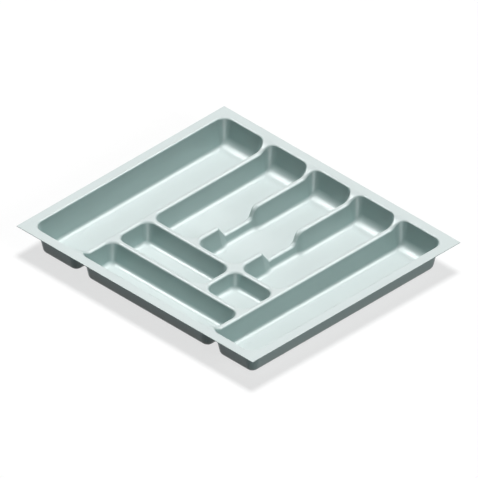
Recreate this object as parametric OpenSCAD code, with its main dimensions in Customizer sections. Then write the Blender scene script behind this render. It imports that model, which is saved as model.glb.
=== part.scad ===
// Drawer insert for cutlery, formed from one plastic sheet over a mould with eight pockets.
// Origin: centre of the footprint, on the surface that the pocket floors stand on. +X is to the
// right, +Y to the back of the drawer, +Z up. The sheet is divided into the zones that it is
// named by: a flat rim on each side and the eight compartments, which meet face to face along
// the crests of the dividers. "Depth" is measured down from the top of the rim.

/* [Outline] */
// Overall width, left to right
tray_w = 540; // [500:1:640]
// Overall length, front to back
tray_d = 475; // [440:1:600]
// Overall height, from the underside of the floors to the top of the rim
tray_h = 52.5; // [49:0.5:75]
// Thickness of the sheet
sheet_t = 1.2; // [0.8:0.1:2]

/* [Rim] */
// Width of the flat rim on the left
rim_left = 15; // [8:0.5:30]
// Width of the flat rim on the right
rim_right = 16.5; // [8:0.5:30]
// Width of the flat rim at the front
rim_front = 16; // [8:0.5:30]
// Width of the flat rim at the back
rim_back = 15; // [8:0.5:30]
// Radius of the rounded edge between the rim and a wall
lip_r = 3.35; // [2.5:0.05:6]

/* [Compartments] */
// Width of each of the three middle columns, from crest to crest
column_w = 100; // [85:1:115]
// Length of the front row, from the front rim to the crest behind it
front_row_d = 83.5; // [65:0.5:100]
// Length of the second row, from crest to crest
second_row_d = 80.5; // [65:0.5:100]
// Lean of every wall from the vertical, in degrees
draft = 12; // [6:0.5:15]
// Radius of a compartment's corners in plan, at rim level
corner_r = 21; // [19:0.5:28]
// Radius between the floor and the walls
floor_r = 9.8; // [6:0.1:12]
// Radius between the floor and the back wall of the five long compartments
back_floor_r = 26; // [14:0.5:32]
// How far the floor of the small square compartment is raised
small_floor_rise = 8.6; // [0:0.1:14]

/* [Dividers] */
// How far the crests of the dividers lie below the rim
divider_drop = 12; // [6:0.5:16]
// Radius of the rounded crests
ridge_r = 5.2; // [3.5:0.1:6.4]
// Distance from the rim's inner edge to where a crest starts to sink
ramp_start = 10; // [4:0.5:12]
// Length over which a crest sinks from the rim to its own level
ramp_len = 12; // [8:0.5:16]

/* [Finger dips] */
// Distance from the crest behind the second row to the start of a dip
dip_start = 56; // [46:1:75]
// Length of the level bottom of a dip
dip_len = 51; // [30:1:100]
// Depth of a dip below the divider's crest
dip_drop = 20.8; // [15:0.2:23]
// Steepest slope at the front of a dip, in degrees
dip_front_angle = 55; // [40:1:70]
// Radius at the top of the front slope
dip_front_top_r = 5.5; // [5.2:0.1:9]
// Radius at the foot of the front slope
dip_front_foot_r = 3; // [2:0.5:8]
// Steepest slope at the back of a dip, in degrees
dip_back_angle = 64; // [40:1:68]
// Radius at the top of the back slope
dip_back_top_r = 13; // [6:0.5:15]
// Radius at the foot of the back slope
dip_back_foot_r = 10; // [4:0.5:14]

/* [Hidden] */

plastic = "#DBE6E3";
// Steps round a quarter turn in plan, an even number, and round an edge or a fillet in section
corner_steps = 6;
arc_steps = 4;
// Rounds in which a climbing crest finds its place
settle_steps = 6;
// Smallest radius that a corner keeps where the floor meets it
least_corner_r = 1;
// Points nearer to each other than this are one point
same_point = 0.0001;

inner_h = tray_h - sheet_t;
taper = tan(draft);
// A rounded edge's start lies this far from the line of its wall, for each mm of radius
shoulder = tan((90 - draft) / 2);

// Inner edges of the rim, and the crests between columns and rows
x_left = rim_left - tray_w / 2;
x_right = tray_w / 2 - rim_right;
y_front = rim_front - tray_d / 2;
y_back = tray_d / 2 - rim_back;
column_x = [for (i = [0:3]) (i - 1.5) * column_w];
y_row_1 = y_front + front_row_d;
y_row_2 = y_row_1 + second_row_d;

function unit(v) = v / norm(v);
function between(a, b, angle) = a * pow(cos(angle), 2) + b * pow(sin(angle), 2);
function smooth(t) = t <= 0 ? 0 : t >= 1 ? 1 : t * t * (3 - 2 * t);
function smooth_rate(t) = t <= 0 || t >= 1 ? 0 : 6 * t * (1 - t);

// The crests sink from the rim to their own level by a smooth ramp, counted from the rim.
function ramp_place(p) =
    (min(p.x - x_left, x_right - p.x, p.y - y_front, y_back - p.y) - ramp_start) / ramp_len;
function crest_depth(p) = divider_drop * smooth(ramp_place(p));
function crest_slope(p) =
    (p.y < 0 ? 1 : -1) * divider_drop / ramp_len * smooth_rate(ramp_place(p));

// One slope of a dip: an arc, a straight and an arc back to level, as [length, fall, angle].
function dip_slope_run(top_r, foot_r, angle) =
    (top_r + foot_r) * tan(angle / 2) + dip_drop / tan(angle);
function dip_slope(top_r, foot_r, angle) = concat(
    [for (i = [0:arc_steps]) let (a = angle * i / arc_steps)
        [top_r * sin(a), top_r * (1 - cos(a)), a]],
    [for (i = [arc_steps:-1:0]) let (a = angle * i / arc_steps)
        [dip_slope_run(top_r, foot_r, angle) - foot_r * sin(a),
         dip_drop - foot_r * (1 - cos(a)), a]]
);

// A dip from front to back, as [y, fall, fall per mm of y].
y_dip = y_row_2 + dip_start;
y_dip_end = y_dip + dip_len
    + dip_slope_run(dip_front_top_r, dip_front_foot_r, dip_front_angle)
    + dip_slope_run(dip_back_top_r, dip_back_foot_r, dip_back_angle);
dip_front = dip_slope(dip_front_top_r, dip_front_foot_r, dip_front_angle);
dip_back = dip_slope(dip_back_top_r, dip_back_foot_r, dip_back_angle);
dip_path = concat(
    [for (q = dip_front) [y_dip + q[0], q[1], tan(q[2])]],
    [for (i = [len(dip_back) - 1:-1:0]) let (q = dip_back[i])
        [y_dip_end - q[0], q[1], -tan(q[2])]]
);

// A compartment is [[x0, x1], [y0, y1], floor depth, back floor radius, [left dip, right dip]].
function on_rim(v) = v == x_left || v == x_right || v == y_front || v == y_back;
function edge_r(v) = on_rim(v) ? lip_r : ridge_r;
// From a compartment's edge to the line of its wall, carried up to rim level
function wall_gap(v) = shoulder * edge_r(v) - (on_rim(v) ? 0 : taper * divider_drop);
function wall_lines(pair) = [pair[0] + wall_gap(pair[0]), pair[1] - wall_gap(pair[1])];
function side_of(pair, way) = way > 0 ? pair[1] : pair[0];

// Stations round a compartment, anticlockwise from the front right corner, as
// [centre of the turn, [way x, way y], angle of the outward direction, fall, fall per mm of y].
function corner_centre(c, ways) = [
    side_of(wall_lines(c[0]), ways.x) - ways.x * corner_r,
    side_of(wall_lines(c[1]), ways.y) - ways.y * corner_r
];
function corner_stations(c, ways, first_angle) = [
    for (i = [0:corner_steps])
        [corner_centre(c, ways), ways, first_angle + 90 * i / corner_steps, 0, 0]
];
function dip_stations(c, way) = [
    for (i = [0:len(dip_path) - 1]) let (q = dip_path[way > 0 ? i : len(dip_path) - 1 - i])
        [[corner_centre(c, [way, 1]).x, q[0]], [way, 0], way > 0 ? 0 : 180, q[1], q[2]]
];
function stations(c) = concat(
    corner_stations(c, [1, -1], -90),
    c[4][1] ? dip_stations(c, 1) : [],
    corner_stations(c, [1, 1], 0),
    corner_stations(c, [-1, 1], 90),
    c[4][0] ? dip_stations(c, -1) : [],
    corner_stations(c, [-1, -1], 180)
);

// Values at a station: outward direction, edge radius, gap to the wall line, crest point.
function way_out(s) = [cos(s[2]), sin(s[2])];
function station_edge_r(c, s) =
    between(edge_r(side_of(c[0], s[1].x)), s[1].y == 0 ? 0 : edge_r(side_of(c[1], s[1].y)), s[2]);
// Where a crest climbs to the rim it moves out along the lean of the wall, by steps that settle
function settled_gap(c, s, gap, steps) = steps == 0 ? gap :
    settled_gap(c, s, shoulder * station_edge_r(c, s)
        - taper * crest_depth(s[0] + way_out(s) * (corner_r + gap)), steps - 1);
// A crest never leaves the compartment's rectangle
function gap_to_border(c, s) = min(
    abs(side_of(c[0], s[1].x) - s[0].x) / max(abs(cos(s[2])), same_point),
    abs(side_of(c[1], s[1].y) - s[0].y) / max(abs(sin(s[2])), same_point)
) - corner_r;
function station_gap(c, s) = min(gap_to_border(c, s), settled_gap(c, s, 0, settle_steps));
function crest_xy(c, s) = s[0] + way_out(s) * (corner_r + station_gap(c, s));
// The point of the compartment's rectangle that lies beside a crest point
function border_xy(c, s) = let (p = crest_xy(c, s), across = abs(cos(s[2])), along = abs(sin(s[2])))
    across * along < same_point ? p :
    [across > along - same_point ? side_of(c[0], s[1].x) : p.x,
     along > across - same_point ? side_of(c[1], s[1].y) : p.y];
// How far the wall stands inside its own line, because the crest plane stays where it is
function wall_shift(c, s) = shoulder * station_edge_r(c, s) - station_gap(c, s)
    - taper * (crest_depth(crest_xy(c, s)) + s[3]);

function crest_normal(p, s) = unit([0, crest_slope(p) + s[4], 1]);
function crest_point(p, s) = [p.x, p.y, tray_h - crest_depth(p) - s[3]];
function inward(c, s) = let (n = crest_normal(crest_xy(c, s), s), d = way_out(s))
    unit(cross(n, [-d.y, d.x, -d.x * n.y / n.z]));
function edge_normal(c, s, a) = cos(a) * crest_normal(crest_xy(c, s), s) + sin(a) * inward(c, s);
function edge_point(c, s, a) = let (r = station_edge_r(c, s))
    crest_point(crest_xy(c, s), s) + r * (edge_normal(c, s, a) - edge_normal(c, s, 0));

// The fillet between wall and floor grows round the back corners to that of the back wall.
function back_r(c, s) = s[1].y > 0 ? c[3] : floor_r;
function fillet_r(c, s) = between(floor_r, back_r(c, s), s[2]);
function foot_depth(c, s) = c[2] - fillet_r(c, s) * (1 - sin(draft));
// A point of the wall, or of the wall carried on below its foot, at a depth
function wall_point(c, s, depth) =
    let (p = s[0] + way_out(s) * (corner_r - wall_shift(c, s) - taper * depth))
    [p.x, p.y, tray_h - depth];
// The floor's edge, a rectangle with small round corners
function floor_in(c, r) = taper * c[2] + shoulder * r;
function floor_edge_point(c, s) =
    let (r = max(corner_r - floor_in(c, floor_r), least_corner_r),
         p = s[0] - [s[1].x * (floor_in(c, floor_r) + r - corner_r),
                     s[1].y * (floor_in(c, back_r(c, s)) + r - corner_r)]
             + way_out(s) * (r - wall_shift(c, s)))
    [p.x, p.y, tray_h - c[2]];
// An arc from the foot of the wall to the floor's edge, steered by the point where they would meet
function fillet_point(c, s, t) =
    let (weights = [pow(1 - t, 2), 2 * cos((90 - draft) / 2) * t * (1 - t), pow(t, 2)])
    (weights[0] * wall_point(c, s, foot_depth(c, s)) + weights[1] * wall_point(c, s, c[2])
        + weights[2] * floor_edge_point(c, s)) / (weights[0] + weights[1] + weights[2]);

// The upper side of the sheet at a station, from the border to the floor, and its normals.
function rib(c, s) = concat(
    [crest_point(border_xy(c, s), s)],
    [for (i = [0:arc_steps]) edge_point(c, s, (90 - draft) * i / arc_steps)],
    [for (i = [0:arc_steps]) fillet_point(c, s, i / arc_steps)]
);
wall_foot = arc_steps + 2;
floor_edge = 2 * arc_steps + 2;
function rib_normal(c, st, ribs, i, j) =
    j == 0 ? crest_normal(border_xy(c, st[i]), st[i]) :
    j < wall_foot ? edge_normal(c, st[i], (90 - draft) * (j - 1) / arc_steps) :
    j == floor_edge ? [0, 0, 1] :
    let (n = len(st),
         along = ribs[(i + 1) % n][j] - ribs[(i + n - 1) % n][j],
         inside = ribs[i][j == wall_foot ? j : j + 1] - ribs[i][j - 1])
    unit(cross(inside, -along));

// The closed sheet: upper side, underside and the cut faces along the border.
function is_face(pts, f) = norm(pts[f[0]] - pts[f[1]]) > same_point
    && norm(pts[f[1]] - pts[f[2]]) > same_point && norm(pts[f[2]] - pts[f[0]]) > same_point;

module compartment(xs, ys, depth = inner_h, back_r = floor_r, dips = [false, false]) {
    c = [xs, ys, depth, back_r, dips];
    st = stations(c);
    n = len(st);
    ribs = [for (s = st) rib(c, s)];
    middle = [(xs[0] + xs[1]) / 2, (ys[0] + ys[1]) / 2, tray_h - depth];
    upper = [for (j = [0:floor_edge]) for (i = [0:n - 1]) ribs[i][j]];
    lower = [for (j = [0:floor_edge]) for (i = [0:n - 1])
        ribs[i][j] - sheet_t * rib_normal(c, st, ribs, i, j)];
    pts = concat(upper, [middle], lower, [middle - [0, 0, sheet_t]]);
    m = len(upper) + 1;
    sheet = [for (j = [0:floor_edge - 1]) for (i = [0:n - 1])
        let (a = j * n + i, b = j * n + (i + 1) % n) each [[a, b + n, b], [a, a + n, b + n]]];
    floor_fan = [for (i = [0:n - 1]) [floor_edge * n + i, m - 1, floor_edge * n + (i + 1) % n]];
    top_faces = concat(sheet, floor_fan);
    faces = concat(
        top_faces,
        [for (f = top_faces) [f[0] + m, f[2] + m, f[1] + m]],
        [for (i = [0:n - 1]) let (k = (i + 1) % n) each [[i, k, k + m], [i, k + m, i + m]]]
    );
    polyhedron(pts, [for (f = faces) if (is_face(pts, f)) f]);
}

// A strip of the flat rim, between two corners of a rectangle.
module strip(xs, ys) {
    translate([xs[0], ys[0], inner_h]) cube([xs[1] - xs[0], ys[1] - ys[0], sheet_t]);
}

module rim_front_strip() {
    color(plastic) strip([-tray_w / 2, tray_w / 2], [-tray_d / 2, y_front]);
}

module rim_back_strip() {
    color(plastic) strip([-tray_w / 2, tray_w / 2], [y_back, tray_d / 2]);
}

module rim_left_strip() {
    color(plastic) strip([-tray_w / 2, x_left], [y_front, y_back]);
}

module rim_right_strip() {
    color(plastic) strip([x_right, tray_w / 2], [y_front, y_back]);
}

module long_left_compartment() {
    color(plastic) compartment([x_left, column_x[0]], [y_front, y_back], back_r = back_floor_r);
}

module long_right_compartment() {
    color(plastic) compartment([column_x[3], x_right], [y_front, y_back], back_r = back_floor_r);
}

module cutlery_compartment(i) {
    color(plastic) compartment([column_x[i - 1], column_x[i]], [y_row_2, y_back],
        back_r = back_floor_r, dips = [i > 1, i < 3]);
}

module cutlery_compartment_1() {
    cutlery_compartment(1);
}

module cutlery_compartment_2() {
    cutlery_compartment(2);
}

module cutlery_compartment_3() {
    cutlery_compartment(3);
}

module front_cross_compartment() {
    color(plastic) compartment([column_x[0], column_x[3]], [y_front, y_row_1]);
}

module second_cross_compartment() {
    color(plastic) compartment([column_x[0], column_x[2]], [y_row_1, y_row_2]);
}

module small_square_compartment() {
    color(plastic) compartment([column_x[2], column_x[3]], [y_row_1, y_row_2],
        depth = inner_h - small_floor_rise);
}

rim_front_strip();
rim_back_strip();
rim_left_strip();
rim_right_strip();
long_left_compartment();
long_right_compartment();
cutlery_compartment_1();
cutlery_compartment_2();
cutlery_compartment_3();
front_cross_compartment();
second_cross_compartment();
small_square_compartment();
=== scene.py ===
# A drawer insert for cutlery, formed from one sheet of plastic. Sizes are written in
# millimetres, and turned to metres where a point gets its place.
import math
from collections import namedtuple

import bmesh
import bpy
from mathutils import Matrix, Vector


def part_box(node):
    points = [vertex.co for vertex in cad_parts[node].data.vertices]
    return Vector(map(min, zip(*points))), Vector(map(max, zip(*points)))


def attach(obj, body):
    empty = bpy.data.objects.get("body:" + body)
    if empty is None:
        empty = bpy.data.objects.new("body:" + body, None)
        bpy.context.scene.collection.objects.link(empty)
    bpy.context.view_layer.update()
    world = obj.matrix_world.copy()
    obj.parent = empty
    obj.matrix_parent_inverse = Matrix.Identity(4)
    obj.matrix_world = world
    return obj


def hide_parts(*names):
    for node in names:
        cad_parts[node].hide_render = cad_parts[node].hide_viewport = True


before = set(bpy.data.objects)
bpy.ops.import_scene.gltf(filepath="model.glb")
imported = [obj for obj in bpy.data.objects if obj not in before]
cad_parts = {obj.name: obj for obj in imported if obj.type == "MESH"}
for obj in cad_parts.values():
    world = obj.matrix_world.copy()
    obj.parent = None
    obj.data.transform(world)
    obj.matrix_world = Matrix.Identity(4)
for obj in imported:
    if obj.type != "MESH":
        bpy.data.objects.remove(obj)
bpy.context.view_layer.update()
MM = 0.001


# The flat rim
# It lies on the edges of the drawer's sides and hides the gap round the insert. It is the
# part of the plastic sheet that stayed on top of the mould, trimmed by a die to a rectangle
# with square corners, so its cut edge is crisp with only a slight break.
sheet_thickness = 1.2
trimmed_edge_break = 0.25
weld_distance = 0.001
same_place = 0.01


def srgb(hex_colour):
    """A colour written as sRGB hex, turned to the linear values that a shader takes."""
    parts = [int(hex_colour[i:i + 2], 16) / 255 for i in (1, 3, 5)]
    return [p / 12.92 if p <= 0.04045 else ((p + 0.055) / 1.055) ** 2.4 for p in parts] + [1]


def add_node(tree, kind, settings=(), **links):
    """Adds a node, gives it its settings by name, and links each named input to its source."""
    node = tree.nodes.new(kind)
    for name, value in settings:
        if name in node.inputs:
            node.inputs[name].default_value = value
        else:
            setattr(node, name, value)
    for name, source in links.items():
        tree.links.new(source, node.inputs[name.replace("_", " ")])
    return node


# High-impact polystyrene, extruded as a sheet with a fine satin grain and then vacuum-formed.
# It gives the eye an opaque pale grey-green with a soft, broad gloss, and the faint
# unevenness of a warm sheet that was drawn over a mould.
pale_patches = ((0.2, "#CFD9D8"), (0.8, "#D3DDDC"))
level_roughness = 0.65
drawn_roughness_low = 0.26
drawn_roughness_high = 0.34

satin_polystyrene = bpy.data.materials.new("satin_polystyrene")
satin_polystyrene.use_nodes = True
tree = satin_polystyrene.node_tree
tree.nodes.clear()
coordinates = add_node(tree, "ShaderNodeTexCoord")
place = coordinates.outputs["Object"]
# Clouding of the extruded sheet, in patches about 60 mm across
clouds = add_node(tree, "ShaderNodeTexNoise", [("Scale", 1 / (60 * MM)), ("Detail", 2)],
                  Vector=place)
colour = add_node(tree, "ShaderNodeValToRGB", Fac=clouds.outputs["Fac"])
for element, (position, patch_colour) in zip(colour.color_ramp.elements, pale_patches):
    element.position = position
    element.color = srgb(patch_colour)
# Painted shade: the walls are painted darker and greener than the floors and the rim, by how
# steep the sheet is, standing in for the shade that steep walls get. Partly it is also the
# sheet thinning as it is drawn down a steep wall, so the dark behind it shows through. How level
# the sheet lies goes from 1 on a floor to 0.2 on a wall, which leans by 12 degrees.
upright = add_node(tree, "ShaderNodeSeparateXYZ", Vector=coordinates.outputs["Normal"])
level = add_node(tree, "ShaderNodeMath", [("operation", "ABSOLUTE")])
tree.links.new(upright.outputs["Z"], level.inputs[0])
painted_wall_shade = add_node(tree, "ShaderNodeMapRange",
                   [("From Min", 1), ("From Max", 0.2), ("To Min", 0), ("To Max", 1)],
                   Value=level.outputs["Value"])
# Painted shade on the walls: the colour is multiplied darker and greener the steeper the sheet
# lies
wall_shaded_colour = add_node(tree, "ShaderNodeMixRGB",
                        [("blend_type", "MULTIPLY"), ("Color2", srgb("#BDD0CE"))],
                        Fac=painted_wall_shade.outputs["Result"], Color1=colour.outputs["Color"])
# It keeps its grain where it lies level, and gets smoother and glossier where it is drawn,
# fully so from a slope of about 30 degrees
drawn_gloss = add_node(tree, "ShaderNodeMapRange",
                       [("To Min", drawn_roughness_low), ("To Max", drawn_roughness_high)],
                       Value=clouds.outputs["Fac"])
gloss = add_node(tree, "ShaderNodeMapRange",
                 [("From Min", 0.86), ("From Max", 1), ("To Max", level_roughness)],
                 Value=level.outputs["Value"], To_Min=drawn_gloss.outputs["Result"])
# Slight waves left by forming, about 35 mm long
waves = add_node(tree, "ShaderNodeTexNoise", [("Scale", 1 / (35 * MM)), ("Detail", 1)],
                 Vector=place)
wave_bump = add_node(tree, "ShaderNodeBump", [("Strength", 0.4), ("Distance", 0.2 * MM)],
                     Height=waves.outputs["Fac"])
# The sheet's grain is about 0.5 mm. It is drawn at 1.5 mm, because finer wouldn't show.
grain = add_node(tree, "ShaderNodeTexNoise", [("Scale", 1 / (1.5 * MM)), ("Detail", 3)],
                 Vector=place)
grain_bump = add_node(tree, "ShaderNodeBump", [("Strength", 0.3), ("Distance", 0.02 * MM)],
                      Height=grain.outputs["Fac"], Normal=wave_bump.outputs["Normal"])
plastic = add_node(tree, "ShaderNodeBsdfPrincipled", [("IOR", 1.59)],
                   Base_Color=wall_shaded_colour.outputs["Color"], Roughness=gloss.outputs["Result"],
                   Normal=grain_bump.outputs["Normal"])
add_node(tree, "ShaderNodeOutputMaterial", Surface=plastic.outputs["BSDF"])


def finish_sheet(piece, *nodes):
    """From the piece's upper side in edit mode to a finished zone of the insert."""
    bpy.ops.mesh.select_all(action="SELECT")
    bpy.ops.mesh.remove_doubles(threshold=weld_distance * MM)
    bpy.ops.object.mode_set(mode="OBJECT")
    sheet = piece.modifiers.new("sheet", "SOLIDIFY")
    sheet.thickness = sheet_thickness * MM
    sheet.offset = -1
    sheet.use_even_offset = True
    sheet.use_quality_normals = True
    bpy.ops.object.modifier_apply(modifier=sheet.name)
    bpy.ops.object.shade_smooth_by_angle(angle=math.radians(30))
    piece.modifiers.new("flat_walls", "WEIGHTED_NORMAL").keep_sharp = True
    bpy.ops.object.modifier_apply(modifier="flat_walls")
    piece.data.materials.clear()
    piece.data.materials.append(satin_polystyrene)
    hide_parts(*nodes)
    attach(piece, "root")


def place_corners(piece, left, right, front, back):
    """Moves the four selected corners of a rectangle to its edges."""
    mesh = bmesh.from_edit_mesh(piece.data)
    for corner in [v for v in mesh.verts if v.select]:
        corner.co.x = (right if corner.co.x > 0 else left) * MM
        corner.co.y = (back if corner.co.y > 0 else front) * MM
    bmesh.update_edit_mesh(piece.data)


front_low, front_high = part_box("rim_front_strip")
back_low, back_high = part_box("rim_back_strip")
left_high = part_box("rim_left_strip")[1]
right_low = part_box("rim_right_strip")[0]
rim_top = front_high.z / MM
rim_outer = [front_low.x / MM, front_high.x / MM, front_low.y / MM, back_high.y / MM]
rim_inner = [left_high.x / MM, right_low.x / MM, front_high.y / MM, back_low.y / MM]

# A square gets its corners on the rim's outline and an inset square on its inner edge, and
# what is left between them is the rim
bpy.ops.object.select_all(action="DESELECT")
bpy.ops.mesh.primitive_plane_add(size=100 * MM, location=(0, 0, rim_top * MM))
flat_rim = bpy.context.object
flat_rim.name = "flat_rim"
bpy.ops.object.transform_apply(location=True, rotation=False, scale=False)
bpy.ops.object.mode_set(mode="EDIT")
place_corners(flat_rim, *rim_outer)
bpy.ops.mesh.inset(thickness=10 * MM)
place_corners(flat_rim, *rim_inner)
bpy.ops.mesh.delete(type="FACE")
finish_sheet(flat_rim, "rim_front_strip", "rim_back_strip", "rim_left_strip", "rim_right_strip")


def on_outline(point):
    """Whether a point of the rim lies on its trimmed outline."""
    return (min(abs(point.x / MM - x) for x in rim_outer[:2]) < same_place
            or min(abs(point.y / MM - y) for y in rim_outer[2:]) < same_place)


bpy.ops.object.mode_set(mode="EDIT")
bpy.ops.mesh.select_mode(type="EDGE")
bpy.ops.mesh.select_all(action="DESELECT")
mesh = bmesh.from_edit_mesh(flat_rim.data)
for edge in mesh.edges:
    edge.select_set(all(on_outline(v.co) for v in edge.verts))
bmesh.update_edit_mesh(flat_rim.data)
bpy.ops.mesh.bevel(offset=trimmed_edge_break * MM, segments=2)
bpy.ops.mesh.select_mode(type="VERT")
bpy.ops.object.mode_set(mode="OBJECT")


# The two long compartments
# They run the whole length of the insert on its left and right, for ladles and spatulas.
# Each is drawn into the mould with leaning walls, so that it comes out again, a rounded lip
# and floor edge, and a wide sweep at the back that a handle slides up on.
Rib = namedtuple("Rib", "x y way_x way_y angle fall fall_rate")
wall_lean = math.radians(12)
corner_radius = 21
lip_radius = 3.35
ridge_radius = 5.2
floor_radius = 9.8
back_sweep_radius = 26
crest_drop = 12
ramp_length = 30
ramp_steps = 5
flat_on_crest = 0.3
corner_steps = 16
ledge_steps = 4
edge_steps = 8
fillet_steps = 10
settle_rounds = 8
smallest_floor_corner = 1
almost_zero = 1e-6

taper = math.tan(wall_lean)
turn = math.pi / 2 - wall_lean
shoulder = math.tan(turn / 2)


def ramp_place(x, y):
    """How far down its ramp a crest is at a point, from 0 at the rim to 1 at its own level.
    The insert's own four corners stay level with the rim."""
    left, right, front, back = rim_inner
    inside_x, inside_y = min(x - left, right - x), min(y - front, back - y)
    if max(inside_x, inside_y) < ramp_length:
        return 0
    return min(max(min(inside_x, inside_y) / ramp_length, 0), 1)


def crest_depth(x, y):
    """How far a crest lies below the rim at a point. The ramp starts and ends level."""
    place = ramp_place(x, y)
    return crest_drop * place * place * (3 - 2 * place)


def crest_point(x, y, fall):
    """A point of a crest, or of the ledge between two of them, at its own height."""
    return Vector((x, y, rim_top - crest_depth(x, y) - fall))


def edge_radius(side):
    """The radius of the rounded edge above a wall, smaller at the rim than on a divider."""
    return lip_radius if min(abs(side - edge) for edge in rim_inner) < same_place else ridge_radius


def wall_line(side, way):
    """Where a wall would start at the height of the rim."""
    radius = edge_radius(side)
    return side - way * (shoulder * radius - (taper * crest_drop if radius == ridge_radius else 0))


def corner_ribs(sides_x, sides_y, way_x, way_y, first_angle):
    """The ribs round one corner, all from the middle of its rounding. Where a divider meets
    the rim there are more beside it, because its ramp is longer than the corner."""
    side_x, side_y = sides_x[way_x > 0], sides_y[way_y > 0]
    x = wall_line(side_x, way_x) - way_x * corner_radius
    y = wall_line(side_y, way_y) - way_y * corner_radius
    angles = [math.radians(first_angle + 90 * i / corner_steps) for i in range(corner_steps + 1)]
    ribs = [Rib(x, y, way_x, way_y, angle, 0, 0) for angle in angles]
    if edge_radius(side_y) == ridge_radius or edge_radius(side_x) == lip_radius:
        return ribs
    starts_at_divider = first_angle % 180 == 0
    nearest = ribs[0 if starts_at_divider else -1]
    stretch = ramp_length - abs(side_y - y)
    beside = [nearest._replace(y=y - way_y * stretch * i / ramp_steps)
              for i in range(1, ramp_steps + 1)]
    return beside[::-1] + ribs if starts_at_divider else ribs + beside


def rib_points(rib, sides_x, sides_y, floor_depth, sweep_radius):
    """The sheet's upper side along one rib: from the border over a ledge to the crest, and
    by the rounded edge, the wall and the fillet to the floor."""
    out = Vector((math.cos(rib.angle), math.sin(rib.angle), 0))
    across, along = out.x ** 2, out.y ** 2
    side_x, side_y = sides_x[rib.way_x > 0], sides_y[rib.way_y > 0]
    edge = edge_radius(side_x) * across + edge_radius(side_y) * along
    room = min(abs(side_x - rib.x) / max(abs(out.x), almost_zero),
               abs(side_y - rib.y) / max(abs(out.y), almost_zero))
    # The crest lies where its rounded edge meets the leaning wall, found in a few rounds
    reach = corner_radius
    for _ in range(settle_rounds):
        depth = crest_depth(rib.x + out.x * reach, rib.y + out.y * reach)
        reach = min(room, corner_radius + shoulder * edge - taper * depth)
    x, y = rib.x + out.x * reach, rib.y + out.y * reach
    # A divider is narrower where it stands higher, and its rounded edge is smaller there
    edge = (reach + taper * crest_depth(x, y) - corner_radius) / shoulder
    wall_reach = corner_radius + taper * rib.fall
    # The rounded edge is a tube swept along the crest, and leans with it in a dip
    up = Vector((0, rib.fall_rate, 1)).normalized()
    inward = up.cross(Vector((-out.y, out.x, -out.x * rib.fall_rate))).normalized()
    crest = crest_point(x, y, rib.fall)
    border_x = side_x if across > along - almost_zero else x
    border_y = side_y if along > across - almost_zero and rib.way_y else y
    points = []
    for i in range(ledge_steps):
        ledge_x = border_x + (x - border_x) * i / ledge_steps
        ledge_y = border_y + (y - border_y) * i / ledge_steps
        points.append(crest_point(ledge_x, ledge_y, rib.fall))
    points += [crest, crest + flat_on_crest * inward]
    first = math.asin(flat_on_crest / edge)
    for i in range(1, edge_steps + 1):
        angle = first + (turn - first) * i / edge_steps
        points.append(crest + edge * ((math.cos(angle) - 1) * up + math.sin(angle) * inward))
    # The fillet is an arc from the foot of the wall, steered by the point where the wall
    # would meet the floor, to the floor's edge
    fillet = floor_radius * across + (sweep_radius if rib.way_y > 0 else floor_radius) * along
    foot_depth = floor_depth - fillet * (1 - math.sin(wall_lean))
    middle = Vector((rib.x, rib.y, rim_top))
    foot = middle + out * (wall_reach - taper * foot_depth) - Vector((0, 0, foot_depth))
    steer = middle + out * (wall_reach - taper * floor_depth) - Vector((0, 0, floor_depth))
    inset_x = taper * floor_depth + shoulder * floor_radius
    inset_y = taper * floor_depth + shoulder * (sweep_radius if rib.way_y > 0 else floor_radius)
    floor_corner = max(corner_radius - inset_x, smallest_floor_corner)
    floor_edge = middle + out * (floor_corner + wall_reach - corner_radius) - Vector((
        rib.way_x * (inset_x + floor_corner - corner_radius),
        rib.way_y * (inset_y + floor_corner - corner_radius),
        floor_depth,
    ))
    pull = math.cos(turn / 2)
    for i in range(fillet_steps + 1):
        t = i / fillet_steps
        a, b, c = (1 - t) ** 2, 2 * pull * t * (1 - t), t ** 2
        points.append((a * foot + b * steer + c * floor_edge) / (a + b + c))
    return points


def form_compartment(name, node, sweep_radius=floor_radius, left_dip=(), right_dip=()):
    """A compartment drawn into the mould where its node is: a disc with a corner for each
    rib, inset ring by ring, with each ring's corners moved down the ribs."""
    low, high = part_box(node)
    sides_x, sides_y = (low.x / MM, high.x / MM), (low.y / MM, high.y / MM)
    floor_depth = rim_top - low.z / MM - sheet_thickness
    front_right = corner_ribs(sides_x, sides_y, 1, -1, -90)
    back_right = corner_ribs(sides_x, sides_y, 1, 1, 0)
    back_left = corner_ribs(sides_x, sides_y, -1, 1, 90)
    front_left = corner_ribs(sides_x, sides_y, -1, -1, 180)
    right_side = [Rib(back_right[0].x, y, 1, 0, 0, fall, rate) for y, fall, rate in right_dip]
    left_side = [Rib(back_left[0].x, y, -1, 0, math.pi, fall, rate) for y, fall, rate in left_dip]
    ribs = front_right + right_side + back_right + back_left + left_side[::-1] + front_left
    points = [rib_points(rib, sides_x, sides_y, floor_depth, sweep_radius) for rib in ribs]

    bpy.ops.object.select_all(action="DESELECT")
    bpy.ops.mesh.primitive_circle_add(vertices=len(ribs), radius=10 * MM, fill_type="NGON")
    piece = bpy.context.object
    piece.name = name
    bpy.ops.object.mode_set(mode="EDIT")
    mesh = bmesh.from_edit_mesh(piece.data)
    number = mesh.verts.layers.int.new("rib")
    for vertex in mesh.verts:
        vertex[number] = vertex.index
    bmesh.update_edit_mesh(piece.data)
    for ring in range(len(points[0])):
        mesh = bmesh.from_edit_mesh(piece.data)
        number = mesh.verts.layers.int["rib"]
        for vertex in mesh.verts:
            if vertex.select:
                vertex.co = points[vertex[number]][ring] * MM
        bmesh.update_edit_mesh(piece.data)
        if ring < len(points[0]) - 1:
            bpy.ops.mesh.inset(thickness=0)
    finish_sheet(piece, node)


form_compartment("long_left_well", "long_left_compartment", back_sweep_radius)
form_compartment("long_right_well", "long_right_compartment", back_sweep_radius)


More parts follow.
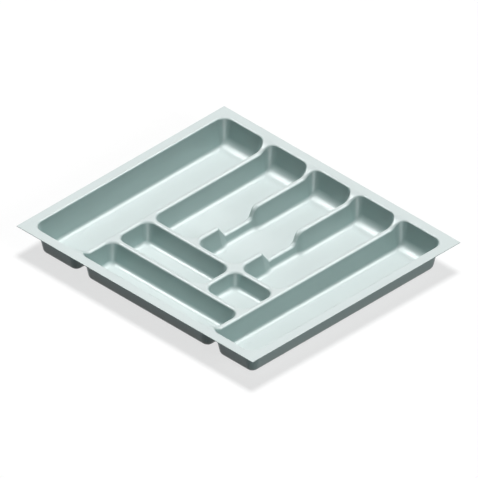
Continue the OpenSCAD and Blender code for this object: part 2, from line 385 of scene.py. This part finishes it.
# The three cutlery columns
# Forks, knives and spoons lie in three like compartments. The dividers between them have a
# wide dip, where fingers reach under the handles, formed in the same pull as the rest.
dip_start = 56
dip_length = 51
dip_drop = 20.8
front_slope = dict(angle=math.radians(55), top_radius=5.5, foot_radius=3)
back_slope = dict(angle=math.radians(64), top_radius=13, foot_radius=10)
dip_steps = 8


def dip_slope(angle, top_radius, foot_radius):
    """One slope of a dip, an arc, a straight and an arc, as distance, fall and fall rate."""
    length = (top_radius + foot_radius) * math.tan(angle / 2) + dip_drop / math.tan(angle)
    turns = [angle * i / dip_steps for i in range(dip_steps + 1)]
    top = [(top_radius * math.sin(a), top_radius * (1 - math.cos(a)), math.tan(a)) for a in turns]
    foot = [(length - foot_radius * math.sin(a), dip_drop - foot_radius * (1 - math.cos(a)),
             math.tan(a)) for a in reversed(turns)]
    return top + foot


front_path = dip_slope(**front_slope)
back_path = dip_slope(**back_slope)
front_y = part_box("cutlery_compartment_1")[0].y / MM + dip_start
back_y = front_y + front_path[-1][0] + dip_length + back_path[-1][0]
finger_dip = [(front_y + run, fall, rate) for run, fall, rate in front_path]
finger_dip += [(back_y - run, fall, -rate) for run, fall, rate in reversed(back_path)]

form_compartment("cutlery_well_1", "cutlery_compartment_1", back_sweep_radius,
                 right_dip=finger_dip)
form_compartment("cutlery_well_2", "cutlery_compartment_2", back_sweep_radius,
                 left_dip=finger_dip, right_dip=finger_dip)
form_compartment("cutlery_well_3", "cutlery_compartment_3", back_sweep_radius,
                 left_dip=finger_dip)


# The two cross compartments
# Teaspoons and small tools lie crosswise in front of the columns, in one wide compartment
# and a shorter one behind it. All their walls meet the floor in the same small fillet.
form_compartment("front_cross_well", "front_cross_compartment")
form_compartment("second_cross_well", "second_cross_compartment")


# The small square compartment
# Corks and clips lie in a square pocket on the right of the second row. The mould stops
# short there, so its floor is higher than the others.
form_compartment("small_square_well", "small_square_compartment")


# The table under the insert
# A matt white studio table, just below the insert so that the two don't touch. The eye sees
# it white, with a soft and pale shadow of the insert. To the insert it is a dim green board,
# so that little light comes back up to the outer walls.
table_size = 12
table_gap = 0.2
shadow_strength = 0.3

bpy.ops.object.select_all(action="DESELECT")
bpy.ops.mesh.primitive_plane_add(size=table_size, location=(0, 0, -table_gap * MM))
table = bpy.context.object
table.name = "table"
matt_white = bpy.data.materials.new("matt_white_board")
matt_white.use_nodes = True
tree = matt_white.node_tree
tree.nodes.clear()


def seen_rays(tree):
    """1 for rays that show a thing to the eye, straight on or in a gloss or a clear part."""
    path = add_node(tree, "ShaderNodeLightPath")
    total = path.outputs["Is Camera Ray"]
    for ray in ("Is Glossy Ray", "Is Transmission Ray"):
        larger = add_node(tree, "ShaderNodeMath", [("operation", "MAXIMUM")])
        tree.links.new(total, larger.inputs[0])
        tree.links.new(path.outputs[ray], larger.inputs[1])
        total = larger.outputs["Value"]
    return total


def mix_shaders(tree, first, second, settings=(), **share):
    """Goes from the first shader to the second by a share, a constant or a node's output."""
    mixed = add_node(tree, "ShaderNodeMixShader", settings, **share)
    tree.links.new(first, mixed.inputs[1])
    tree.links.new(second, mixed.inputs[2])
    return mixed.outputs["Shader"]


backdrop = add_node(tree, "ShaderNodeEmission", [("Color", srgb("#FFFFFF")), ("Strength", 1)])
board = add_node(tree, "ShaderNodeBsdfDiffuse", [("Color", srgb("#FFFFFF"))])
white_board = mix_shaders(tree, backdrop.outputs["Emission"], board.outputs["BSDF"],
                          [("Fac", shadow_strength)])
dim_board = add_node(tree, "ShaderNodeBsdfDiffuse", [("Color", srgb("#154A50"))])
shown = mix_shaders(tree, dim_board.outputs["BSDF"], white_board, Fac=seen_rays(tree))
add_node(tree, "ShaderNodeOutputMaterial", Surface=shown)
table.data.materials.append(matt_white)


# The studio light
# A soft lamp almost overhead and a weak one low on the right light the insert, in a dim
# white room. The overhead lamp is kept out of its gloss, so that no side of it clips to
# white. Three pale cards are seen only in its gloss, along the fillets and corners.
room_strength = 0.04
seen_room_strength = 1

scene = bpy.context.scene
room = bpy.data.worlds.new("pale_room")
scene.world = room
room.use_nodes = True
tree = room.node_tree
tree.nodes.clear()
strength = add_node(tree, "ShaderNodeMapRange",
                    [("To Min", room_strength), ("To Max", seen_room_strength)],
                    Value=seen_rays(tree))
light = add_node(tree, "ShaderNodeBackground", [("Color", (1, 1, 1, 1))],
                 Strength=strength.outputs["Result"])
add_node(tree, "ShaderNodeOutputWorld", Surface=light.outputs["Background"])


def hang_lamp(name, direction, strength, softness, lights=True, shines=True):
    """A lamp far off in a direction, with its strength and its width in degrees. It lights
    the surfaces, shines in their gloss or both. What only shines casts no shadow."""
    lamp = bpy.data.lights.new(name, "SUN")
    lamp.energy = strength
    lamp.angle = math.radians(softness)
    lamp.use_shadow = lights
    holder = bpy.data.objects.new(name, lamp)
    holder.rotation_euler = Vector(direction).to_track_quat("Z", "Y").to_euler()
    holder.visible_diffuse = lights
    holder.visible_glossy = shines
    scene.collection.objects.link(holder)


hang_lamp("overhead_lamp", (-0.11, 0.17, 1.0), 2.92, 16, shines=False)
hang_lamp("lamp_on_the_right", (0.90, 0.0, 0.42), 0.7, 20)
hang_lamp("card_behind_right", (0.40, 0.58, 0.71), 2.45, 40, lights=False)
hang_lamp("card_front_left", (-0.58, -0.38, 0.72), 2.5, 32, lights=False)
hang_lamp("card_low_front_right", (0.69, -0.69, -0.195), 0.9, 30, lights=False)


# The camera
# A true isometric view with no perspective, from the front right corner.
picture_side = 478
pixels_per_mm = 0.6184
aim = Vector((10.5, -9.2, 52.5)) * MM
camera_distance = 3
view_depth = 20
towards_camera = Vector((1, -1, 1)).normalized()
camera_data = bpy.data.cameras.new("camera")
camera_data.type = "ORTHO"
camera_data.ortho_scale = picture_side / pixels_per_mm * MM
camera_data.clip_end = view_depth
camera = bpy.data.objects.new("camera", camera_data)
camera.location = aim + camera_distance * towards_camera
camera.rotation_euler = towards_camera.to_track_quat("Z", "Y").to_euler()
scene.collection.objects.link(camera)
scene.camera = camera
scene.view_settings.view_transform = "Standard"
